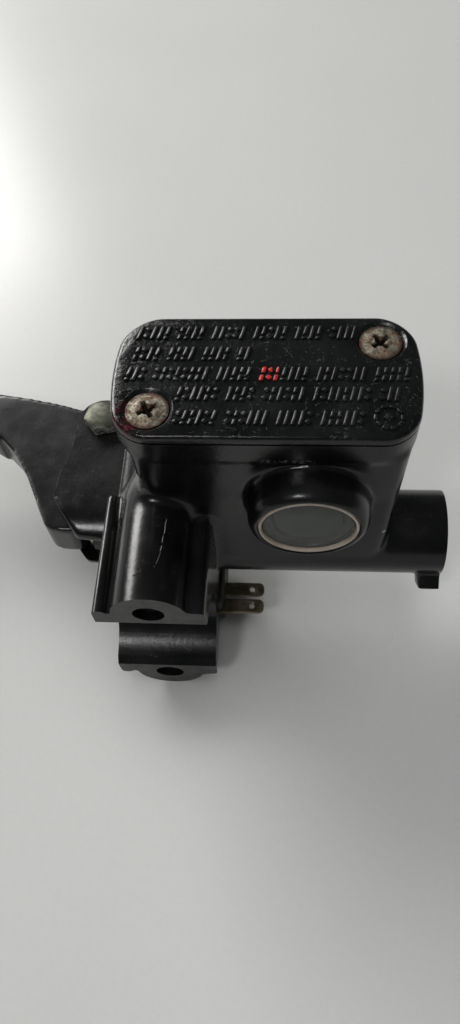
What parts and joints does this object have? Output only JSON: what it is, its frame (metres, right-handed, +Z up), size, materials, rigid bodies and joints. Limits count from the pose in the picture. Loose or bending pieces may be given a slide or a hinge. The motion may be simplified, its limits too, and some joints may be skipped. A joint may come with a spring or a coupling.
{
  "type": "brake master cylinder",
  "caption": "Left-hand handlebar hydraulic brake master cylinder: barrel, square reservoir with lid and sight glass, clamp half, pivoting lever and brake light switch.",
  "frame": {"origin": "on the handlebar's axis, at the middle of the clamp between its two bolts", "axes": "+X along the handlebar towards the hose outlet, +Y forward, away from the rider, +Z up, square to the reservoir lid"},
  "size_m": [0.2401, 0.0667, 0.0693],
  "materials": {
    "body_paint": "semi-gloss black paint over a rough casting",
    "lid_paint": "glossy black paint, speckled",
    "lever_paint": "semi-gloss black paint",
    "pale_plastic": "satin",
    "ring_plastic": "satin cream",
    "backplate_plastic": "satin",
    "switch_plastic": "satin olive black",
    "rubber": "matt",
    "lens": "clear, slightly green",
    "screw_steel": "rusted zinc plate",
    "zinc_steel": "dull olive zinc plate",
    "bright_steel": "bright",
    "dark_steel": "oiled",
    "piston_alloy": "anodised",
    "terminal_brass": "dull, tarnished"
  },
  "bodies": {
    "cylinder_body": {"body_casting": "body_paint", "reservoir_lid": "lid_paint", "diaphragm_plate": "pale_plastic", "diaphragm": "rubber", "lid_screw_front": "screw_steel", "lid_screw_rear": "screw_steel", "port_protector": "bright_steel", "sight_ring": "ring_plastic", "sight_lens": "lens", "sight_seal": "rubber", "sight_backplate": "backplate_plastic", "return_spring": "bright_steel", "circlip": "dark_steel", "dust_boot": "rubber", "pivot_bolt": "zinc_steel", "pivot_nut": "zinc_steel", "switch_housing": "switch_plastic", "switch_terminal_front": "terminal_brass", "switch_terminal_rear": "terminal_brass", "switch_screw": "zinc_steel"},
    "lever": {"brake_lever": "lever_paint"},
    "piston_set": {"piston": "piston_alloy", "primary_cup": "rubber", "secondary_cup": "rubber"},
    "plunger": {"switch_plunger": "pale_plastic"}
  },
  "joints": [
    {"name": "lever_pivot", "type": "hinge", "parent": "cylinder_body", "child": "lever", "pos_m": [-0.0162, 0.0509, 0], "axis": [0, 0, 1], "range_deg": [0, 18]},
    {"name": "piston_slide", "type": "slide", "parent": "cylinder_body", "child": "piston_set", "axis": [1, 0, 0], "range_m": [0, 0.0072], "stiffness_N_per_m": 1200, "springref_m": -0.009, "deforming": ["return_spring", "dust_boot"]},
    {"name": "switch_plunger_slide", "type": "slide", "parent": "cylinder_body", "child": "plunger", "axis": [1, 0, 0], "range_m": [0, 0.00704], "stiffness_N_per_m": 100, "springref_m": -0.004}
  ],
  "couplings": [
    {"joint": "piston_slide", "follows": "lever_pivot", "m_per_rad": 0.0229},
    {"joint": "switch_plunger_slide", "follows": "lever_pivot", "m_per_rad": 0.0224}
  ]
}
